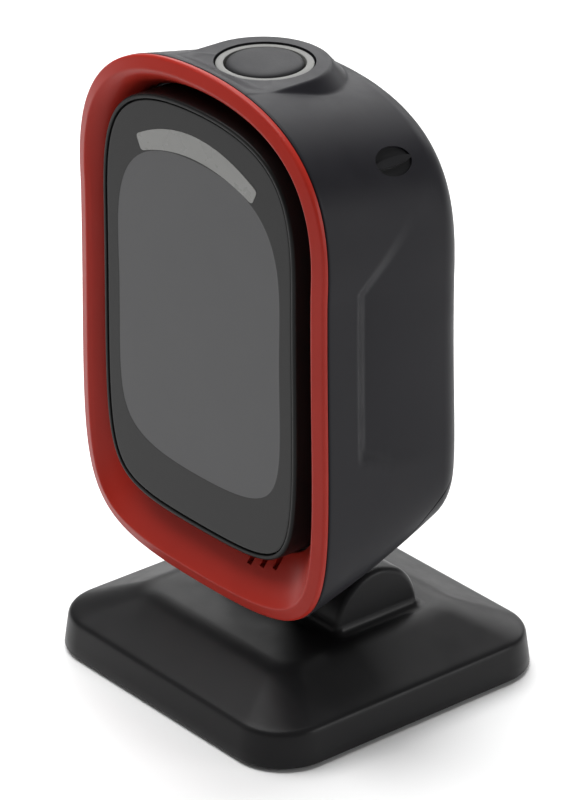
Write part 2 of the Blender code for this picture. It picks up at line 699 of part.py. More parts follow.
def make_housing_screws(material, pivot):
    names = ("upper_left", "upper_right", "lower_left", "lower_right")
    for name, (x, z) in zip(names, SCREW_SITES):
        screw(f"housing_screw_{name}", (x, 8.0 + GAP, z), (0, 1, 0), 2.7, 1.3, 12.0, material, pivot)


def make_side_plugs(material, pivot):
    """Oval plug deep in each side hole, with a raised bar from front to back."""
    for side, sign in (("left", -1), ("right", 1)):
        plug = oval_cutter(f"side_plug_{side}", 4.6, 3.2, sign, 1.9, 5.0, material=material, parent=pivot)
        bar = oval_cutter(f"plug bar {side}", 4.2, 1.2, sign, 0.9, 2.6, cutter=True)
        boolean(plug, bar, "UNION")
        smooth(plug)


# ---- button ----------------------------------------------------------------------------------------
def make_button(cap_material, ring_material, pivot, button_pivot):
    ring = [(10.8, RING_TOP - 0.3), (10.8, 144.4), (11.6, 144.4), (11.6, 142.9), (9.3, 142.9), (9.3, RING_TOP),
            (10.5, RING_TOP)]
    centre = (0, BUTTON_Y, 0)
    turned("button_light_ring", ring, centre, sides=40, material=ring_material, parent=pivot)
    cap = [(0, BUTTON_TOP), (4.5, BUTTON_TOP - 0.03), (8.0, BUTTON_TOP - 0.15), (8.6, BUTTON_TOP - 0.4),
           (8.9, BUTTON_TOP - 0.9), (8.9, 142.3), (10.4, 142.3), (10.4, 141.2), (7.6, 141.2), (7.6, 145.2),
           (1.6, 145.2), (1.6, 143.1), (0, 143.1)]
    turned("button_cap", cap, centre, sides=40, material=cap_material, parent=button_pivot)


# ---- electronics -----------------------------------------------------------------------------------
def make_electronics(kit, pivot):
    green = kit["board"]
    black = kit["matte"]
    metal = kit["steel"]
    box("main_board", (-25, -2.0, 54), (25, -0.4, 119), material=green, parent=pivot)
    shield = box("processor_shield", (-13, -0.1, 88), (13, 2.2, 112), material=metal, parent=pivot)
    round_edges(shield, 0.5, 1)
    bracket = box("camera_bracket", (-11, -12.0, VIEW_Z - 11), (11, -3.9, VIEW_Z + 11), material=black, parent=pivot)
    bore = cylinder("camera bore", 6.3, (0, -20, VIEW_Z), (0, 0, VIEW_Z), 28, cutter=True)
    boolean(bracket, bore)
    box("sensor_board", (-8, -3.6, VIEW_Z - 8), (8, -2.3, VIEW_Z + 8), material=green, parent=pivot)
    barrel = [(5.9, 2.2), (5.9, -8.5), (4.6, -8.5), (4.6, 2.2)]
    turned("lens_barrel", barrel, (0, -14.0, VIEW_Z), (0, -1, 0), 28, material=black, parent=pivot)
    lens = [(0, 1.0), (2.6, 0.7), (4.3, 0), (4.3, -1.2), (0, -1.2)]
    turned("camera_lens", lens, (0, -14.6, VIEW_Z), (0, -1, 0), 24, material=kit["glass"], parent=pivot)
    lamp = box("illumination_board", (-24, -14.6, 79), (24, -13.2, 119), material=green, parent=pivot)
    eye = cylinder("lamp board hole", 7.0, (0, -20, VIEW_Z), (0, -5, VIEW_Z), 28, cutter=True)
    boolean(lamp, eye)
    for index, (x, z) in enumerate(((-16, 88), (16, 88), (-16, 112), (16, 112)), 1):
        led = box(f"illumination_led_{index}", (x - 1.8, -15.9, z - 1.8), (x + 1.8, -14.9, z + 1.8),
                  material=kit["led"], parent=pivot)
        round_edges(led, 0.3, 1)
    speaker = [(0, -1.0), (4.0, 0.6), (8.6, 2.2), (9.6, 2.2), (9.6, -1.0), (6.0, -3.4), (0, -3.4)]
    turned("speaker", speaker, (15, -11.5, 57), (0, -1, 0), 24, material=black, parent=pivot)
    box("button_board", (-9.0, BUTTON_Y - 7.6, 137.6), (9.0, BUTTON_Y + 8.6, 138.8), material=green, parent=pivot)
    switch = box("tact_switch", (-3.2, BUTTON_Y - 3.2, 139.1), (3.2, BUTTON_Y + 3.2, 142.0), material=metal,
                 parent=pivot)
    well = cylinder("switch well", 2.0, (0, BUTTON_Y, 140.4), (0, BUTTON_Y, 150), 16, cutter=True)
    boolean(switch, well)
    x, z = PORT_CENTRE
    socket = box("cable_socket", (x - 8.2, -0.1, z - 7.4), (x + 8.2, 12.1, z + 7.4), material=black, parent=pivot)
    cavity = box("socket cavity", (x - 6.0, 1.6, z - 4.6), (x + 6.0, 20, z + 5.1), cutter=True)
    latch = box("socket latch way", (x - 1.6, 3.0, z - 6.2), (x + 1.6, 20, z), cutter=True)
    boolean(socket, cavity)
    boolean(socket, latch)


def make_cables(kit, pivot):
    button_path = soft_route([(0.8, 138.2), (3.4, 137.6), (4.0, 133.0), (2.6, 127.0), (0.3, 121.4), (0.1, 117.0)])
    plate("button_flex", strip_outline([(y, z) for y, z in button_path], 0.3), -4, 4, "YZ", kit["flex"], pivot)
    lamp_path = soft_route([(-12.8, 82.0), (-9.0, 82.0), (-7.2, 78.0), (-5.8, 73.0), (-2.5, 72.0)])
    plate("illumination_flex", strip_outline([(y, z) for y, z in lamp_path], 0.3), -6, 6, "YZ", kit["flex"], pivot)
    for name, x, material in (("speaker_wire_plus", 13.6, kit["red"]), ("speaker_wire_minus", 16.4, kit["matte"])):
        route = soft_route([(x, -7.6, 57.0), (x, -5.6, 57.4), (x, -4.2, 60.5), (x, -2.9, 64.0)], 3)
        wire(name, route, 0.5, material, pivot)


# ---- assembly --------------------------------------------------------------------------------------
def make_pivot(name, place, parent=None):
    pivot = bpy.data.objects.new(name, None)
    pivot.location = Vector(place) * MM
    pivot.empty_display_size = 0.02
    parts.objects.link(pivot)
    if parent:
        attach(pivot, parent)
    return pivot


def stand_on_counter():
    """Parent everything to one empty that lifts the soles to z = 0."""
    scanner = make_pivot("scanner", (0, 0, -SOLE_Z))
    for item in list(bpy.data.objects):
        if item.parent is None and item is not scanner:
            item.parent = scanner


def main():
    global parts, cutters
    clear_scene()
    parts = make_collection("presentation scanner")
    cutters = make_collection("cutters")
    kit = {
        "housing": make_material("housing plastic", (0.030, 0.030, 0.034), 0.55),
        "base": make_material("base plastic", (0.016, 0.016, 0.018), 0.42),
        "red": make_material("red ring plastic", (0.41, 0.034, 0.025), 0.38),
        "window": make_material("window acrylic", (0.11, 0.11, 0.115), 0.12),
        "matte": make_material("black plastic", (0.012, 0.012, 0.013), 0.6),
        "ring": make_material("light guide plastic", (0.22, 0.22, 0.21), 0.4),
        "steel": make_material("zinc steel", (0.55, 0.55, 0.56), 0.35, 1.0),
        "iron": make_material("ballast iron", (0.20, 0.20, 0.21), 0.6, 1.0),
        "fibre": make_material("hinge nylon", (0.5, 0.48, 0.42), 0.7),
        "rubber": make_material("foot rubber", (0.012, 0.012, 0.012), 0.9),
        "board": make_material("circuit board", (0.01, 0.12, 0.05), 0.45),
        "glass": make_material("lens glass", (0.05, 0.06, 0.09), 0.05),
        "led": make_material("lamp resin", (0.85, 0.80, 0.45), 0.3),
        "flex": make_material("flex cable", (0.55, 0.25, 0.03), 0.4),
    }
    make_base_shell(kit["base"])
    make_bottom_plate(kit["matte"])
    make_ballast(kit["iron"])
    make_feet(kit["rubber"])
    make_base_screws(kit["steel"])
    make_hinge(kit["steel"], kit["fibre"])
    pivot = make_pivot("head pivot", (0, HINGE_Y, HINGE_Z))
    button_pivot = make_pivot("button pivot", (0, BUTTON_Y, BUTTON_TOP), pivot)
    make_head_cutters()
    make_rear_housing(kit["housing"], pivot)
    make_bottom_cover(kit["housing"], pivot)
    make_front_bezel(kit["red"], pivot)
    make_window_frame(kit["matte"], pivot)
    make_window(kit["window"], pivot)
    make_light_guide(kit["ring"], pivot)
    make_tilt_neck(kit["base"], pivot)
    make_housing_screws(kit["steel"], pivot)
    make_side_plugs(kit["matte"], pivot)
    make_button(kit["housing"], kit["ring"], pivot, button_pivot)
    make_electronics(kit, pivot)
    make_cables(kit, pivot)
    stand_on_counter()


main()
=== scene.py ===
"""Looks of the presentation barcode scanner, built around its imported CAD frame.

Lengths are in millimetres and become metres when a mesh is made. Heights are drawn as the CAD source draws
them, from a little above the counter, and LIFT brings them to the frame's own z.
"""
import json
import math

import bmesh
import bpy
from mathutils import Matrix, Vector

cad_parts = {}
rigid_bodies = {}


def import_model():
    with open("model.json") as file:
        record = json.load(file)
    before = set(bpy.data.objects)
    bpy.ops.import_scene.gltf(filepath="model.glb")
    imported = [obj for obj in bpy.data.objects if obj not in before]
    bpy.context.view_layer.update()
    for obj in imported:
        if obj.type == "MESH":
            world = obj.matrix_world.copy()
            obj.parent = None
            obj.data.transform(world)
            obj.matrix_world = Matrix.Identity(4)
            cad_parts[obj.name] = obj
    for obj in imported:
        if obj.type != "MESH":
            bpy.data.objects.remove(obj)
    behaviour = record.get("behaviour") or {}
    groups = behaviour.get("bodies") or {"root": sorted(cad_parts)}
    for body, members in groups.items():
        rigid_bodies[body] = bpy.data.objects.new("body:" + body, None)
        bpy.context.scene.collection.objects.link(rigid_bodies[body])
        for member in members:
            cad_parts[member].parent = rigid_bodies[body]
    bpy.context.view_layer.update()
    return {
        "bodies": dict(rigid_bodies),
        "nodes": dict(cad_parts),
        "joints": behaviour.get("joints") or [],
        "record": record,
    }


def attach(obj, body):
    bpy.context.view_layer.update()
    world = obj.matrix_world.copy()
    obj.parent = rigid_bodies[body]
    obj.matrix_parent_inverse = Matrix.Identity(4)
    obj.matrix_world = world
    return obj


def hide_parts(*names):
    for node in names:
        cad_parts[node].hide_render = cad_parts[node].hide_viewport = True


MM = 0.001
LIFT = 1.6

HINGE_Y = 6.0
HINGE_Z = 15.0

# Head. Its front ring meets the housing at SEAM_Y, and smaller y is nearer the viewer.
SEAM_Y = -26.1
HEAD_BACK = 14.7
BACK_RADIUS = 6.5
WALL = 2.2
HOUSING_STEP = 1.0              # how far the housing stands outside the ring's rim
SIDE_TAPER = 0.056              # narrowing of each side per mm of depth behind the seam
TOP_TAPER = 0.195               # fall of the crown per mm of depth
BELLY_RISE = 0.40               # rise of the underside per mm of depth, and the share that grows with depth
BELLY_CURVE = 0.003
WIDEST_FALL = 7.5               # how much lower the widest height is at the back
COVER_GAP = 0.42                # between the housing and its bottom cover
PORT = (0.0, 68.0, 6.8, 5.9)    # x, z, half width, half height of the socket's opening
SCREW_SITES = ((-27.0, 124.0), (27.0, 124.0), (-31.0, 60.0), (31.0, 60.0))
SOUND_SLOTS = (13.0, 17.0, 21.0)

# Flat boss round the button.
BUTTON_Y = -8.8
BUTTON_BORE = 11.05
BOSS_Y = -9.4                   # centre of its half-round rear end
BOSS_RADIUS = 14.7
BOSS_TOP = 147.0
BOSS_BLEND = 7.5                # depth over which the arch of the rim turns into the flat top
BOSS_CREST = 0.3                # half width of the rounding at the top of its wall
BOSS_FALL = 1.15                # slope of its wall
BOSS_FOOT = 0.3                 # rounding where the wall starts
BOSS_LEVELLING = 4.0            # how far inside its edge the crown is down to the boss's level
ARCH_CURVE = 0.0062             # fall of the rim's arch per square mm from the middle

# Finger scoop in each side.
SCOOP_FRONT = -17.6
SCOOP_LENGTH = 24.0
SCOOP_DEPTH = 1.7
SCOOP_FADE = 1.7                # exponent of the fall in depth towards the back
SCOOP_RAMP = 3.2                # width of its sloping edge

# Oval hole in each shoulder: half length and half width, of the hole and of its plug.
SIDE_HOLE = (5.3, 3.4)
SIDE_PLUG = (5.25, 3.35)
PLUG_BAR = (5.2, 1.0)

# Base with the hinge dome.
BASE_HALF = (42.2, 41.2)
DOME_RADIUS = 12.0
DOME_HALF = 21.5
FOOT_FILLET = 2.3
SLOT_HALF = (8.4, 12.4)         # room for the neck
SHAFT_ROOM = 3.3
SHAFT_REACH = 19.5

# Outlines: half width, top, widest height, bottom, then how far each Bezier handle reaches.
RIM = (40.9, 148.7, 108.7, 27.0, 1.13, 0.20, 1.21, 0.90)
FRAME = (33.1, 141.2, 109.7, 39.8, 0.89, 0.62, 1.18, 0.96)
CLEAR = (27.7, 128.6, 91.9, 53.3, 1.15, 0.45, 1.17, 0.79)


# ---- small helpers ---------------------------------------------------------------------------------
def smoothstep(value):
    value = min(max(value, 0.0), 1.0)
    return value * value * (3 - 2 * value)


def link(name, mesh, hidden=False):
    item = bpy.data.objects.new(name, mesh)
    bpy.context.scene.collection.objects.link(item)
    if hidden:
        item.hide_render = True
        item.display_type = "WIRE"
    return item


def finish_form(name, form, hidden=False):
    bmesh.ops.recalc_face_normals(form, faces=form.faces)
    mesh = bpy.data.meshes.new(name)
    form.to_mesh(mesh)
    form.free()
    return link(name, mesh, hidden)


def to_world(point):
    return Vector((point[0] * MM, point[1] * MM, (point[2] + LIFT) * MM))


def loft(name, rings, loop=False, hidden=False):
    form = bmesh.new()
    rows = [[form.verts.new(to_world(p)) for p in ring] for ring in rings]
    count = len(rows[0])
    following = rows[1:] + rows[:1] if loop else rows[1:]
    for first, second in zip(rows, following):
        for i in range(count):
            j = (i + 1) % count
            form.faces.new((first[i], first[j], second[j], second[i]))
    if not loop:
        form.faces.new(rows[0])
        form.faces.new(rows[-1])
    return finish_form(name, form, hidden)


def prism(name, section, axis, low, high, hidden=False):
    """Straight bar along axis, with its section given in the other two axes."""
    orders = {"X": lambda a, b, c: (c, a, b), "Y": lambda a, b, c: (a, c, b), "Z": lambda a, b, c: (a, b, c)}
    order = orders[axis]
    return loft(name, [[order(a, b, level) for a, b in section] for level in (low, high)], hidden=hidden)


def block(name, low, high, hidden=True):
    corners = [(low[0], low[1]), (high[0], low[1]), (high[0], high[1]), (low[0], high[1])]
    return prism(name, corners, "Z", low[2], high[2], hidden)


def round_bar(name, radius, centre, axis, low, high, sides=64, hidden=True):
    circle = [(centre[0] + radius * math.cos(math.tau * i / sides),
               centre[1] + radius * math.sin(math.tau * i / sides)) for i in range(sides)]
    return prism(name, circle, axis, low, high, hidden)


def turned(name, profile, centre, sides=128):
    """Turn (radius, height) points about a vertical axis; radius 0 closes an end."""
    form = bmesh.new()
    rows = []
    for radius, height in profile:
        if radius < 1e-6:
            rows.append([form.verts.new(to_world((centre[0], centre[1], height)))])
            continue
        rows.append([form.verts.new(to_world((
            centre[0] + radius * math.cos(math.tau * i / sides),
            centre[1] + radius * math.sin(math.tau * i / sides), height))) for i in range(sides)])
    pairs = list(zip(rows, rows[1:]))
    if len(rows[0]) > 1:
        pairs.append((rows[-1], rows[0]))
    for first, second in pairs:
        for i in range(sides):
            j = (i + 1) % sides
            corners = (first[i % len(first)], first[j % len(first)], second[j % len(second)],
                       second[i % len(second)])
            form.faces.new(list(dict.fromkeys(corners)))
    return finish_form(name, form)


def cut(target, cutters, operation="DIFFERENCE"):
    """One exact Boolean with several cutters, applied at once. The cutters are used up."""
    group = bpy.data.collections.new(f"{target.name} {operation.lower()}")
    bpy.context.scene.collection.children.link(group)
    for cutter in cutters:
        group.objects.link(cutter)
    modifier = target.modifiers.new("cut", "BOOLEAN")
    modifier.operation = operation
    modifier.solver = "EXACT"
    if len(cutters) == 1:
        modifier.object = cutters[0]
    else:
        modifier.operand_type = "COLLECTION"
        modifier.collection = group
    bake(target)
    for cutter in cutters:
        bpy.data.objects.remove(cutter, do_unlink=True)
    bpy.data.collections.remove(group)


def bake(item):
    """Replace an object's mesh by what its modifiers make of it."""
    bpy.context.view_layer.update()
    evaluated = item.evaluated_get(bpy.context.evaluated_depsgraph_get())
    mesh = bpy.data.meshes.new_from_object(evaluated)
    item.modifiers.clear()
    item.data = mesh


def shade(item, angle):
    item.data.shade_smooth()
    item.data.set_sharp_from_angle(angle=math.radians(angle))


# ---- outlines --------------------------------------------------------------------------------------
def bezier(p0, p1, p2, p3, shares):
    points = []
    for t in shares:
        u = 1 - t
        weights = (u ** 3, 3 * u * u * t, 3 * u * t * t, t ** 3)
        points.append(sum((w * Vector(p) for w, p in zip(weights, (p0, p1, p2, p3))), Vector((0, 0))))
    return points


def even(count):
    return [i / count for i in range(count)]


# Where the points of an outline's upper and lower curves lie. CROWN is denser over the boss and the scoops.
EVEN = (even(44), even(56))
CROWN = ([0.0026 * i for i in range(62)] + [0.1612 + 0.8388 * i / 66 for i in range(66)], even(110))


def outline(shape, inset=0.0, shares=EVEN):
    """Closed outline in x and z, clockwise from the crown, moved inwards by inset."""
    half, top, widest, bottom, crown, shoulder, sole, hip = shape
    upper = bezier((0, top), (crown * half, top),
                   (half, widest + shoulder * (top - widest)), (half, widest), shares[0])
    lower = bezier((half, widest), (half, widest + hip * (bottom - widest)),
                   (sole * half, bottom), (0, bottom), shares[1])
    right = upper + lower + [Vector((0, bottom))]
    ring = right + [Vector((-p.x, p.y)) for p in right[-2:0:-1]]
    if not inset:
        return ring
    moved = []
    for index, point in enumerate(ring):
        along = (ring[(index + 1) % len(ring)] - ring[index - 1]).normalized()
        moved.append(point + inset * Vector((along.y, -along.x)))
    return moved


def rounded_rectangle(half_x, half_y, radius, steps=18):
    ring = []
    for corner, (sign_x, sign_y) in enumerate(((1, 1), (-1, 1), (-1, -1), (1, -1))):
        for step in range(steps):
            angle = math.radians(90 * (corner + step / (steps - 1)))
            ring.append(Vector((sign_x * (half_x - radius) + radius * math.cos(angle),
                                sign_y * (half_y - radius) + radius * math.sin(angle))))
    return ring


# ---- materials -------------------------------------------------------------------------------------
class Graph:
    """A material's node tree, with short ways to add nodes."""

    def __init__(self, name, colour, roughness, metallic=0.0):
        self.material = bpy.data.materials.new(name)
        self.material.use_nodes = True
        self.tree = self.material.node_tree
        self.shader = self.tree.nodes["Principled BSDF"]
        self.shader.inputs["Base Color"].default_value = (*colour, 1.0)
        self.shader.inputs["Roughness"].default_value = roughness
        self.shader.inputs["Metallic"].default_value = metallic
        self.material.diffuse_color = (*colour, 1.0)
        self.place = self.tree.nodes.new("ShaderNodeTexCoord").outputs["Object"]

    def node(self, kind, **settings):
        made = self.tree.nodes.new(kind)
        for key, value in settings.items():
            setattr(made, key, value)
        return made

    def join(self, source, target):
        self.tree.links.new(source, target)

    def stretched(self, scale):
        mapping = self.node("ShaderNodeMapping")
        mapping.inputs["Scale"].default_value = scale
        self.join(self.place, mapping.inputs["Vector"])
        return mapping.outputs["Vector"]

    def noise(self, per_mm, detail=3.0, roughness=0.55, vector=None):
        made = self.node("ShaderNodeTexNoise")
        made.inputs["Scale"].default_value = per_mm * 1000
        made.inputs["Detail"].default_value = detail
        made.inputs["Roughness"].default_value = roughness
        self.join(vector or self.place, made.inputs["Vector"])
        return made.outputs["Fac"]

    def ramp(self, source, low, high, start, end):
        made = self.node("ShaderNodeMapRange")
        for key, value in (("From Min", low), ("From Max", high), ("To Min", start), ("To Max", end)):
            made.inputs[key].default_value = value
        self.join(source, made.inputs["Value"])
        return made.outputs["Result"]

    def blend(self, share, first, second):
        made = self.node("ShaderNodeMix", data_type="RGBA")
        made.inputs[6].default_value = (*first, 1.0)
        made.inputs[7].default_value = (*second, 1.0)
        self.join(share, made.inputs[0])
        return made.outputs[2]

    def colour(self, source):
        self.join(source, self.shader.inputs["Base Color"])

    def rough(self, source):
        self.join(source, self.shader.inputs["Roughness"])

    def bump(self, height, strength, depth_mm):
        made = self.node("ShaderNodeBump")
        made.inputs["Strength"].default_value = strength
        made.inputs["Distance"].default_value = depth_mm * MM
        self.join(height, made.inputs["Height"])
        self.join(made.outputs["Normal"], self.shader.inputs["Normal"])


def tint(colour, factor):
    return tuple(min(c * factor, 1.0) for c in colour)


def moulded(name, colour, roughness, grain=3.0, depth=0.02, strength=0.35, spread=0.06, gloss=0.5,
            variation=0.12):
    """Moulded plastic: spark-eroded grain, faint flow clouds in the colour, handling marks in the gloss."""
    graph = Graph(name, colour, roughness)
    graph.shader.inputs["Specular IOR Level"].default_value = gloss
    fine = graph.noise(grain, 2.0, 0.6)
    cloud = graph.noise(0.03, 4.0)
    marks = graph.noise(0.12, 5.0, 0.65)
    graph.colour(graph.blend(graph.ramp(cloud, 0.3, 0.7, 0.0, 1.0), tint(colour, 1 - variation),
                             tint(colour, 1 + variation)))
    graph.rough(graph.ramp(marks, 0.3, 0.75, roughness - spread, roughness + spread))
    graph.bump(fine, strength, depth)
    return graph.material


def brushed(name, colour, roughness, direction=(1, 1, 14)):
    graph = Graph(name, colour, roughness, 1.0)
    lines = graph.noise(0.9, 3.0, 0.6, graph.stretched(direction))
    graph.rough(graph.ramp(lines, 0.3, 0.7, roughness - 0.1, roughness + 0.12))
    graph.colour(graph.blend(graph.noise(0.2, 3.0), tint(colour, 0.85), tint(colour, 1.12)))
    graph.bump(lines, 0.25, 0.01)
    return graph.material


def glossy(name, colour, roughness, gloss=0.5, variation=0.05, haze=0.03):
    """Smooth finish with faint smears in its gloss and a trace of moulding unevenness."""
    graph = Graph(name, colour, roughness)
    graph.shader.inputs["Specular IOR Level"].default_value = gloss
    smear = graph.noise(0.05, 5.0, 0.6)
    graph.rough(graph.ramp(smear, 0.3, 0.75, roughness, roughness + haze))
    graph.colour(graph.blend(smear, tint(colour, 1 - variation), tint(colour, 1 + variation)))
    graph.bump(graph.noise(0.25, 2.0), 0.04, 0.02)
    return graph.material


def cast_iron(name, colour):
    graph = Graph(name, colour, 0.6, 1.0)
    grain = graph.noise(1.2, 5.0, 0.65)
    graph.bump(grain, 0.6, 0.08)
    graph.colour(graph.blend(grain, tint(colour, 0.7), tint(colour, 1.2)))
    return graph.material


def circuit(name):
    """Solder mask with faint darker tracks."""
    graph = Graph(name, (0.01, 0.12, 0.05), 0.4)
    tracks = graph.node("ShaderNodeTexBrick")
    tracks.inputs["Scale"].default_value = 180.0
    graph.join(graph.place, tracks.inputs["Vector"])
    share = graph.ramp(tracks.outputs["Fac"], 0.0, 1.0, 0.0, 1.0)
    graph.colour(graph.blend(share, (0.008, 0.10, 0.04), (0.02, 0.20, 0.08)))
    graph.rough(graph.ramp(graph.noise(0.4), 0.3, 0.7, 0.32, 0.5))
    return graph.material


def make_materials():
    """One material for each slot of the record, and one for the window's clear centre."""
    dull = 0.13
    return {
        "housing_plastic": moulded("housing plastic", (0.0125, 0.0122, 0.0150), 0.42, grain=4.0,
                                   depth=0.018, gloss=dull),
        "button_plastic": moulded("button plastic", (0.030, 0.030, 0.032), 0.56, grain=2.6, depth=0.035,
                                  strength=0.7, gloss=0.15),
        "red_ring": moulded("red ring plastic", (0.33, 0.020, 0.012), 0.36, grain=5.0, depth=0.006,
                            spread=0.04, gloss=0.15, variation=0.05),
        "frame_plastic": moulded("frame plastic", (0.008, 0.008, 0.008), 0.36, grain=5.0, depth=0.006,
                                 gloss=dull),
        "scan_window": glossy("window border print", (0.017, 0.017, 0.017), 0.14, 0.14),
        "clear_centre": glossy("window clear centre", (0.076, 0.076, 0.078), 0.16, 0.16),
        "light_guide": moulded("light bar acrylic", (0.222, 0.222, 0.214), 0.30, grain=5.0, depth=0.004,
                               gloss=0.25, variation=0.02),
        "light_ring": moulded("light ring plastic", (0.135, 0.135, 0.128), 0.42, grain=4.0, depth=0.006,
                              gloss=0.3),
        "neck_plastic": moulded("neck plastic", (0.010, 0.010, 0.011), 0.42, grain=2.5, depth=0.02,
                                gloss=dull),
        "base_plastic": moulded("base plastic", (0.0090, 0.0088, 0.0094), 0.37, grain=4.0, depth=0.008,
                                spread=0.05, gloss=0.15),
        "underside_plastic": moulded("underside plastic", (0.010, 0.010, 0.011), 0.55, grain=2.0,
                                     depth=0.03),
        "ballast_iron": cast_iron("ballast iron", (0.20, 0.20, 0.21)),
        "hinge_steel": brushed("hinge steel", (0.55, 0.55, 0.56), 0.3, (14, 1, 1)),
        "screw_steel": brushed("screw steel", (0.42, 0.42, 0.43), 0.35, (1, 14, 1)),
        "hinge_nylon": moulded("hinge nylon", (0.50, 0.48, 0.42), 0.6, grain=2.0),
        "plug_plastic": moulded("plug plastic", (0.008, 0.008, 0.009), 0.34, grain=4.0, depth=0.006,
                                gloss=0.4),
        "circuit_board": circuit("circuit board"),
        "shield_metal": brushed("shield can", (0.60, 0.60, 0.60), 0.3, (1, 1, 10)),
        "inner_plastic": moulded("inner plastic", (0.012, 0.012, 0.013), 0.6, grain=2.0),
        "lens_glass": glossy("lens glass", (0.03, 0.035, 0.06), 0.04, 0.8),
        "lamp_resin": glossy("lamp resin", (0.85, 0.80, 0.45), 0.2),
        "socket_plastic": moulded("socket plastic", (0.02, 0.02, 0.02), 0.35, grain=3.0, depth=0.008),
        "flex_film": glossy("flex film", (0.55, 0.25, 0.03), 0.3),
        "wire_red": glossy("red wire", (0.5, 0.02, 0.02), 0.35),
        "wire_black": glossy("black wire", (0.01, 0.01, 0.01), 0.35),
        "foot_rubber": moulded("foot rubber", (0.014, 0.014, 0.014), 0.8, grain=1.6, depth=0.04),
    }


# ---- head shell ------------------------------------------------------------------------------------
def housing_shape(y):
    """The housing's outline at depth y: smaller, lower and rounder towards the back."""
    depth = max(y - SEAM_Y, -3.0)
    share = max(depth, 0.0) / (HEAD_BACK - SEAM_Y)
    half, top, widest, bottom, crown, shoulder, sole, hip = RIM
    return (half + HOUSING_STEP - SIDE_TAPER * depth, top + HOUSING_STEP - TOP_TAPER * depth,
            widest - WIDEST_FALL * share,
            bottom - HOUSING_STEP + BELLY_RISE * depth + BELLY_CURVE * depth ** 2,
            crown - 0.06 * share, shoulder + 0.12 * share, sole + 0.07 * share, hip + 0.22 * share)


def boss_height(x, y, inset):
    """Height of the flat boss top and its sloping wall, and how far inside its edge the point is."""
    arch = RIM[1] + HOUSING_STEP - ARCH_CURVE * x * x
    blend = min(max((y - SEAM_Y) / BOSS_BLEND, 0.0), 1.0)
    level = BOSS_TOP + (arch - BOSS_TOP) * (1 - blend) ** 2 * (1 + 2 * blend) - inset
    outside = (abs(x) if y <= BOSS_Y else math.hypot(x, y - BOSS_Y)) - BOSS_RADIUS + inset
    if outside > BOSS_CREST:
        return level - BOSS_FALL * outside, 0.0
    if outside > -BOSS_CREST:
        rounding = BOSS_FALL * (outside + BOSS_CREST) ** 2 / (4 * BOSS_CREST)
        return level - rounding, max(-outside, 0.0)
    return level, -outside


def soft_rise(rise, fillet):
    """Positive part of a height difference, rounded over where it starts."""
    if rise <= -fillet:
        return 0.0
    return rise if rise >= fillet else (rise + fillet) ** 2 / (4 * fillet)


def grip_share(y, z):
    """1 inside the side scoop, 0 outside, with a sloping edge between."""
    edges = (((-17.6, 69.6), (-17.6, 109.2)), ((-17.6, 109.2), (5.0, 128.2)),
             ((12.0, 61.5), (-8.3, 65.2)), ((-8.3, 65.2), (-17.6, 69.6)))
    nearest = math.inf
    for (y0, z0), (y1, z1) in edges:
        length = math.hypot(y1 - y0, z1 - z0)
        nearest = min(nearest, ((y - y0) * (z1 - z0) - (z - z0) * (y1 - y0)) / length)
    ramp = min(max(nearest / SCOOP_RAMP, 0.0), 1.0)
    return 0.8 * ramp + 0.2 * smoothstep(ramp)


def shell_ring(y, inset, narrowing=0.0):
    """Section of the housing at depth y with the boss raised and the side scoops sunk."""
    ring = []
    for p in outline(housing_shape(y), inset + narrowing, CROWN):
        x, z = p.x, p.y
        if abs(x) < BOSS_RADIUS + 6 and z > 130:
            height, inside = boss_height(x, y, inset)
            z += soft_rise(height - z, BOSS_FOOT) + min(height - z, 0.0) * smoothstep(inside / BOSS_LEVELLING)
        if inset == 0 and abs(x) > 32 and 60 < z < 130:
            fade = max(1 - (y - SCOOP_FRONT) / SCOOP_LENGTH, 0.0) ** SCOOP_FADE
            x -= math.copysign(SCOOP_DEPTH * fade * grip_share(y, z), x)
        ring.append((x, y, z))
    return ring


def shell_rings():
    """Inner skin from the back wall forwards, then the outer skin back again."""
    straight = HEAD_BACK - BACK_RADIUS
    inner = BACK_RADIUS - WALL
    rings = []
    for step in range(5, -1, -1):
        angle = math.radians(18 * step)
        rings.append(shell_ring(straight + inner * math.sin(angle), WALL, inner * (1 - math.cos(angle))))
    steps = 14
    for step in range(1, steps + 1):
        y = straight + (SEAM_Y - straight) * step / steps
        rings.append(shell_ring(y, WALL))
    for y, narrowing in ((SEAM_Y, 0.34), (SEAM_Y + 0.1, 0.12), (SEAM_Y + 0.3, 0.02)):
        rings.append(shell_ring(y, 0.0, narrowing))
    steps = 100
    for step in range(steps + 1):
        rings.append(shell_ring(SEAM_Y + 0.6 + (straight - SEAM_Y - 0.6) * step / steps, 0.0))
    for step in range(1, 13):
        angle = math.radians(7.5 * step)
        rings.append(shell_ring(straight + BACK_RADIUS * math.sin(angle), 0.0,
                                BACK_RADIUS * (1 - math.cos(angle))))
    return rings


def side_hole_axis(sign):
    """Centre of a side hole, on the shoulder's skin, and its outward direction."""
    return Vector((sign * 34.0, -1.6, 133.0)), Vector((sign * 0.76, 0, 0.65)).normalized()


def oval_bar(name, halves, sign, depth_from, depth_to, hidden=True):
    """Oval bar along a side hole's axis, long side front to back, with its depths below the skin."""
    half_long, half_short = halves
    centre, outward = side_hole_axis(sign)
    across = outward.cross(Vector((0, 1, 0)))
    rings = []
    for depth in (depth_from, depth_to):
        rings.append([centre - outward * depth + Vector((0, half_long * math.cos(math.tau * i / 64), 0))
                      + across * half_short * math.sin(math.tau * i / 64) for i in range(64)])
    return loft(name, rings, hidden=hidden)


def cover_wedge(name, shift):
    """Everything below the sloping split between the housing and its bottom cover."""
    shape = [(-22.0, 23.4 - shift), (22.0, 66.1 - shift), (22.0, 10.0), (-22.0, 10.0)]
    return prism(name, shape, "X", -60, 60, hidden=True)


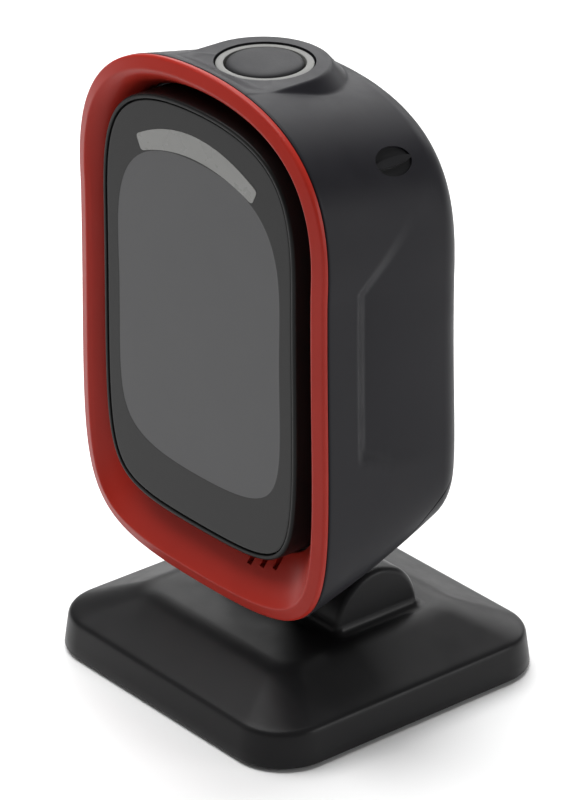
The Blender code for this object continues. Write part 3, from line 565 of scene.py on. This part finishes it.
def make_head_shell(materials):
    shell = loft("scanner_housing", shell_rings())
    tubes = [round_bar(f"tube {x} {z}", 5.0, (x, z), "Y", 5.2, 13.4, 48) for x, z in SCREW_SITES]
    cut(shell, tubes, "UNION")
    cover = link("scanner_bottom_cover", shell.data.copy())
    cutters = [cover_wedge("wedge", 0.0),
               round_bar("button bore", BUTTON_BORE, (0, BUTTON_Y), "Z", 130, 160, 128),
               block("port", (PORT[0] - PORT[2], 5, PORT[1] - PORT[3]),
                     (PORT[0] + PORT[2], 30, PORT[1] + PORT[3]))]
    for sign in (-1, 1):
        cutters.append(oval_bar(f"side hole {sign}", SIDE_HOLE, sign, -8.0, 6.0))
    for x, z in SCREW_SITES:
        cutters.append(round_bar(f"sink {x} {z}", 3.3, (x, z), "Y", 8.0, 30.0, 48))
    cut(shell, cutters)
    cut(shell, [round_bar(f"hole {x} {z}", 1.7, (x, z), "Y", 0.0, 9.0, 32) for x, z in SCREW_SITES])
    cut(cover, [cover_wedge("wedge", COVER_GAP)], "INTERSECT")
    cut(cover, [block("neck room", (-5.5, HINGE_Y - 6.5, 20), (5.5, HINGE_Y + 6.5, 60))])
    for item, node in ((shell, "rear_housing"), (cover, "bottom_cover")):
        place(item, "head", "housing_plastic", materials, node)
        shade(item, 42)


def make_side_plugs(materials):
    """Oval plug a little below the skin of each side hole, with a raised bar from front to back."""
    for side, sign in (("left", -1), ("right", 1)):
        plug = oval_bar(f"scanner_side_plug_{side}", SIDE_PLUG, sign, 1.2, 5.0, hidden=False)
        cut(plug, [oval_bar("bar", PLUG_BAR, sign, 0.35, 2.0)], "UNION")
        place(plug, "head", "plug_plastic", materials, f"side_plug_{side}")
        shade(plug, 30)


def place(item, body, slot, materials, *nodes):
    """Give a new piece its body, its slot, its material and the CAD nodes it stands for."""
    item.data.materials.clear()
    item.data.materials.append(materials[slot])
    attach(item, body)
    if nodes:
        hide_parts(*nodes)


def make_ring(materials):
    """Red ring with three sound slots: rounded nose, flat band, concave cone to the window frame."""
    nose = [(-1.0, SEAM_Y - 0.3), (-1.0, SEAM_Y - 0.6), (-1.0, -27.05), (-0.97, -27.25), (-0.86, -27.45),
            (-0.68, -27.6), (-0.45, -27.7), (-0.3, -27.74), (0.5, -27.98), (1.3, -28.22), (1.6, -28.31),
            (1.8, -28.36), (1.98, -28.37), (2.14, -28.32), (2.28, -28.23), (2.6, -28.0), (2.9, -27.78),
            (3.1, -27.63)]
    rings = [[(p.x, y, p.y) for p in outline(RIM, inset)] for inset, y in nose]
    lip = outline(RIM, 3.2)
    root = outline(FRAME, -0.5)
    for step in range(1, 11):
        share = step / 10
        depth = -27.5 + 6.5 * share - 0.5 * math.sin(math.pi * share)
        rings.append([(a.x + (b.x - a.x) * share, depth, a.y + (b.y - a.y) * share)
                      for a, b in zip(lip, root)])
    for shape, inset, y in ((FRAME, -0.5, -19.0), (RIM, 3.9, -24.2), (RIM, 2.4, -24.2),
                            (RIM, 2.4, SEAM_Y - 0.3)):
        rings.append([(p.x, y, p.y) for p in outline(shape, inset)])
    ring = loft("scanner_front_ring", rings, loop=True)
    slots = []
    for x in SOUND_SLOTS:
        height = 35.4 + 0.0065 * x * x
        slots.append(block(f"slot {x}", (x - 0.75, -30, height - 1.0), (x + 0.75, -10, height + 2.6)))
    cut(ring, slots)
    place(ring, "head", "red_ring", materials, "front_bezel")
    shade(ring, 40)


def make_frame(materials):
    """Black window frame with a rear flange and a post for each housing screw."""
    profile = [(0.0, -18.7), (0.0, -27.3), (0.05, -27.65), (0.18, -27.9), (0.38, -28.05), (0.6, -28.1),
               (1.0, -28.1), (1.1, -28.05), (1.15, -27.9), (1.15, -26.1), (4.0, -26.1), (4.0, -16.6),
               (-2.2, -16.6), (-2.2, -18.7)]
    rings = [[(p.x, y, p.y) for p in outline(FRAME, inset)] for inset, y in profile]
    frame = loft("scanner_window_frame", rings, loop=True)
    posts = [round_bar(f"post {x} {z}", 3.2, (x, z), "Y", -17.6, 4.8, 40) for x, z in SCREW_SITES]
    cut(frame, posts, "UNION")
    holes = [round_bar(f"pilot {x} {z}", 1.6, (x, z), "Y", -8.0, 10.0, 32) for x, z in SCREW_SITES]
    holes.append(round_bar("button room", 12.2, (0, BUTTON_Y), "Z", 136.5, 160, 64))
    cut(frame, holes)
    place(frame, "head", "frame_plastic", materials, "window_frame")
    shade(frame, 40)


def make_window(materials):
    """Pane whose front face is a printed border round a clear centre."""
    form = bmesh.new()
    border = [(FRAME, inset, y) for inset, y in ((1.4, -26.4), (1.4, -27.62), (1.46, -27.8), (1.62, -27.9),
                                                 (1.9, -27.92), (2.2, -27.92))]
    centre = [(CLEAR, -0.3, -27.92), (CLEAR, -0.1, -27.92), (CLEAR, 0.0, -27.9), (CLEAR, 0.25, -27.9)]
    rows = [[form.verts.new(to_world((p.x, y, p.y))) for p in outline(shape, inset)]
            for shape, inset, y in border + centre]
    count = len(rows[0])
    for level, (first, second) in enumerate(zip(rows, rows[1:])):
        for i in range(count):
            j = (i + 1) % count
            face = form.faces.new((first[i], first[j], second[j], second[i]))
            face.material_index = 1 if level == len(rows) - 2 else 0
    form.faces.new(rows[0])
    form.faces.new(rows[-1]).material_index = 1
    window = finish_form("scanner_window", form)
    window.data.materials.append(materials["scan_window"])
    window.data.materials.append(materials["clear_centre"])
    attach(window, "head")
    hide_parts("scan_window")
    shade(window, 20)


def make_light_bar(materials):
    """Curved status light bar on the pane's face. The CAD light guide stays behind the opaque pane."""
    shares = [-1 + 2 * i / 40 for i in range(41)]
    top = [(20.7 * s, 134.4 - 5.8 * s * s) for s in shares]
    bottom = [(18.9 * s, 129.1 - 3.9 * s * s) for s in reversed(shares)]
    ring = [Vector(p) for p in top + bottom]
    soft = []
    for index, point in enumerate(ring):
        before = (ring[index - 1] - point).normalized()
        after = (ring[(index + 1) % len(ring)] - point).normalized()
        if before.dot(after) < -0.5:
            soft.append(point)
            continue
        a = point + before * 1.0
        b = point + after * 1.0
        soft.extend(a * (1 - t) ** 2 + point * 2 * t * (1 - t) + b * t * t
                    for t in (0, 0.25, 0.5, 0.75, 1))
    bar = prism("scanner_light_bar", [(p.x, p.y) for p in soft], "Y", -28.04, -27.6)
    place(bar, "head", "light_guide", materials)
    shade(bar, 30)


def make_button(materials):
    """Button cap with its flange and stem, and the pale ring round it."""
    cap = [(0, 147.36), (3.0, 147.35), (5.6, 147.3), (7.0, 147.2), (7.6, 147.1), (7.95, 146.96),
           (8.2, 146.75), (8.36, 146.45), (8.44, 146.05), (8.45, 145.6), (8.45, 142.3), (10.3, 142.3),
           (10.3, 141.2), (7.6, 141.2), (7.6, 145.2), (1.6, 145.2), (1.6, 143.1), (0, 143.1)]
    button = turned("scanner_button", cap, (0, BUTTON_Y))
    place(button, "button", "button_plastic", materials, "button_cap")
    shade(button, 35)
    ring = [(10.7, 146.4), (10.7, 144.4), (11.0, 144.4), (11.0, 142.9), (8.95, 142.9), (8.95, 146.5),
            (9.02, 146.64), (9.2, 146.7), (10.4, 146.7), (10.62, 146.62)]
    light = turned("scanner_button_ring", ring, (0, BUTTON_Y))
    place(light, "head", "light_ring", materials, "button_light_ring")
    shade(light, 35)


# ---- base ------------------------------------------------------------------------------------------
def base_ring(height, narrowing, corner):
    ring = rounded_rectangle(BASE_HALF[0] - narrowing, BASE_HALF[1] - narrowing, corner)
    return [(p.x, p.y, height) for p in ring]


def slope_height(levels, edge):
    """Height of the base's top at a distance in from its edge."""
    for (z0, n0, _), (z1, n1, _) in zip(levels, levels[1:]):
        if n0 <= edge <= n1 and n1 > n0:
            return z0 + (z1 - z0) * (edge - n0) / (n1 - n0)
    return levels[-1][0]


def make_base(materials):
    """Skirt, soft shoulder and slope, hollow below, with the hinge dome blended into the plateau."""
    # Each level: height, narrowing, corner radius.
    outer = [(-0.7, 0.3, 12.7), (-0.6, 0.1, 12.9), (-0.35, 0.0, 13.0), (2.0, 0.27, 12.8), (4.4, 0.55, 12.65),
             (6.4, 0.8, 12.5), (6.9, 0.9, 12.4), (7.3, 1.05, 12.3), (7.65, 1.28, 12.1), (7.95, 1.65, 11.8),
             (8.22, 2.15, 11.5), (8.5, 2.85, 11.0), (8.8, 3.6, 10.5), (9.2, 4.6, 10.0), (10.5, 7.7, 8.8),
             (11.9, 11.1, 7.4), (12.9, 13.5, 6.4), (13.3, 14.55, 6.0), (13.6, 15.6, 5.6), (13.82, 16.7, 5.2),
             (13.95, 17.7, 4.8), (14.0, 18.6, 4.4)]
    inner = [(11.6, 21.0, 2.5), (11.2, 18.6, 2.8), (10.8, 16.6, 3.6), (6.8, 7.0, 7.6), (6.1, 5.3, 8.6),
             (5.6, 4.1, 9.4), (4.2, 3.2, 10.1), (-0.7, 2.5, 10.6)]
    shell = loft("scanner_base", [base_ring(*level) for level in inner + outer])
    round_off = [(0.0, 1.6), (0.06, 1.16), (0.21, 0.8), (0.47, 0.47), (0.8, 0.21), (1.16, 0.06), (1.6, 0.0)]
    profile = [(sunk - DOME_HALF, DOME_RADIUS - narrowing) for sunk, narrowing in round_off]
    profile += [(-x, radius) for x, radius in reversed(profile)]
    dome = loft("dome", [[(x, HINGE_Y + radius * math.cos(math.tau * i / 160),
                           HINGE_Z + radius * math.sin(math.tau * i / 160)) for i in range(160)]
                         for x, radius in profile], hidden=True)
    cut(dome, [block("below", (-60, -60, -20), (60, 60, 6))])
    foot = []
    for step in range(-1, 13):
        spread = FOOT_FILLET * (1 - step / 11)
        rise = FOOT_FILLET - math.sqrt(
            max(FOOT_FILLET ** 2 - (FOOT_FILLET - max(spread, 0.0)) ** 2, 0.0))
        rise = rise - 0.25 if step < 0 else rise + 0.02
        ring = []
        footprint = rounded_rectangle(DOME_HALF + spread, DOME_RADIUS - 0.12 + spread,
                                      max(1.6 + spread, 0.4), 12)
        for p in footprint:
            edge = min(BASE_HALF[0] - abs(p.x), BASE_HALF[1] - abs(p.y + HINGE_Y))
            ring.append((p.x, p.y + HINGE_Y, slope_height(outer, edge) + rise))
        foot.append(ring)
    fillet = loft("dome foot", foot, hidden=True)
    cut(shell, [dome], "UNION")
    cut(shell, [fillet], "UNION")
    half_x, half_y = SLOT_HALF
    cut(shell, [block("slot", (-half_x, HINGE_Y - half_y, -10), (half_x, HINGE_Y + half_y, 40)),
                round_bar("shaft bore", SHAFT_ROOM, (HINGE_Y, HINGE_Z), "X", -SHAFT_REACH, SHAFT_REACH, 48),
                block("saddle", (-SHAFT_REACH, HINGE_Y - SHAFT_ROOM, 0),
                      (SHAFT_REACH, HINGE_Y + SHAFT_ROOM, HINGE_Z))])
    place(shell, "base", "base_plastic", materials, "base_shell")
    shade(shell, 38)


# ---- carried-over CAD nodes ------------------------------------------------------------------------
def paint_nodes(frame, materials):
    """Material and soft shading for every CAD node that still shows."""
    slots = {part["node"]: part["material_slot"] for part in frame["record"]["subparts"]}
    for name, item in frame["nodes"].items():
        if item.hide_render:
            continue
        item.data.materials.clear()
        item.data.materials.append(materials[slots[name]])
        attribute = item.data.attributes.get("custom_normal")
        if attribute:
            item.data.attributes.remove(attribute)
        item.data.polygons.foreach_set("use_smooth", [True] * len(item.data.polygons))
        weld = item.modifiers.new("weld", "WELD")
        weld.merge_threshold = 0.000002
        split = item.modifiers.new("sharp edges", "EDGE_SPLIT")
        split.split_angle = math.radians(32)


# ---- studio ----------------------------------------------------------------------------------------
def make_floor():
    """White paper disc that fills the picture at the photo's angle."""
    mesh = bpy.data.meshes.new("floor")
    form = bmesh.new()
    bmesh.ops.create_circle(form, cap_ends=True, segments=96, radius=6.0)
    form.to_mesh(mesh)
    form.free()
    floor = link("studio_floor", mesh)
    graph = Graph("floor paper", (0.93, 0.93, 0.93), 0.7)
    graph.shader.inputs["Specular IOR Level"].default_value = 0.2
    graph.colour(graph.blend(graph.noise(0.002, 2.0), (0.925, 0.925, 0.925), (0.935, 0.935, 0.935)))
    mesh.materials.append(graph.material)


def softbox(name, place_m, target_m, size, energy):
    light = bpy.data.lights.new(name, "AREA")
    light.shape = "RECTANGLE"
    light.size, light.size_y = size
    light.energy = energy
    item = bpy.data.objects.new(name, light)
    item.location = place_m
    item.rotation_euler = (Vector(target_m) - Vector(place_m)).to_track_quat("-Z", "Y").to_euler()
    bpy.context.scene.collection.objects.link(item)


def make_studio():
    """Floor, dim white surroundings and lamps mainly from above and from behind on the left."""
    make_floor()
    world = bpy.data.worlds.new("studio")
    bpy.context.scene.world = world
    world.use_nodes = True
    back = world.node_tree.nodes["Background"]
    back.inputs["Color"].default_value = (1.0, 1.0, 1.0, 1.0)
    back.inputs["Strength"].default_value = 0.17
    centre = (0.0, 0.0, 0.07)
    softbox("overhead", (-0.4, 0.0, 1.4), centre, (1.5, 1.2), 32.0)
    softbox("rear left", (-0.8, 1.3, 0.8), centre, (1.8, 0.9), 14.0)
    softbox("front left", (-0.9, -1.3, 0.9), centre, (0.9, 1.2), 2.0)
    softbox("rear right", (1.35, 0.85, 0.35), centre, (0.7, 0.6), 7.0)
    bpy.context.scene.view_settings.view_transform = "Standard"


def make_camera():
    """Camera as fitted to the photo, in metres."""
    camera = bpy.data.objects.new("camera", bpy.data.cameras.new("camera"))
    bpy.context.scene.collection.objects.link(camera)
    spot = Vector((0.70177, -0.58338, 0.51594))
    aim = Vector((0.00742, -0.00714, 0.06991))
    camera.location = spot
    camera.rotation_euler = (aim - spot).to_track_quat("-Z", "Y").to_euler()
    camera.data.lens = 205.15
    camera.data.clip_start = 0.05
    camera.data.clip_end = 20.0
    bpy.context.scene.camera = camera


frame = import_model()
materials = make_materials()
make_head_shell(materials)
make_side_plugs(materials)
make_ring(materials)
make_frame(materials)
make_window(materials)
make_light_bar(materials)
make_button(materials)
make_base(materials)
paint_nodes(frame, materials)
make_studio()
make_camera()
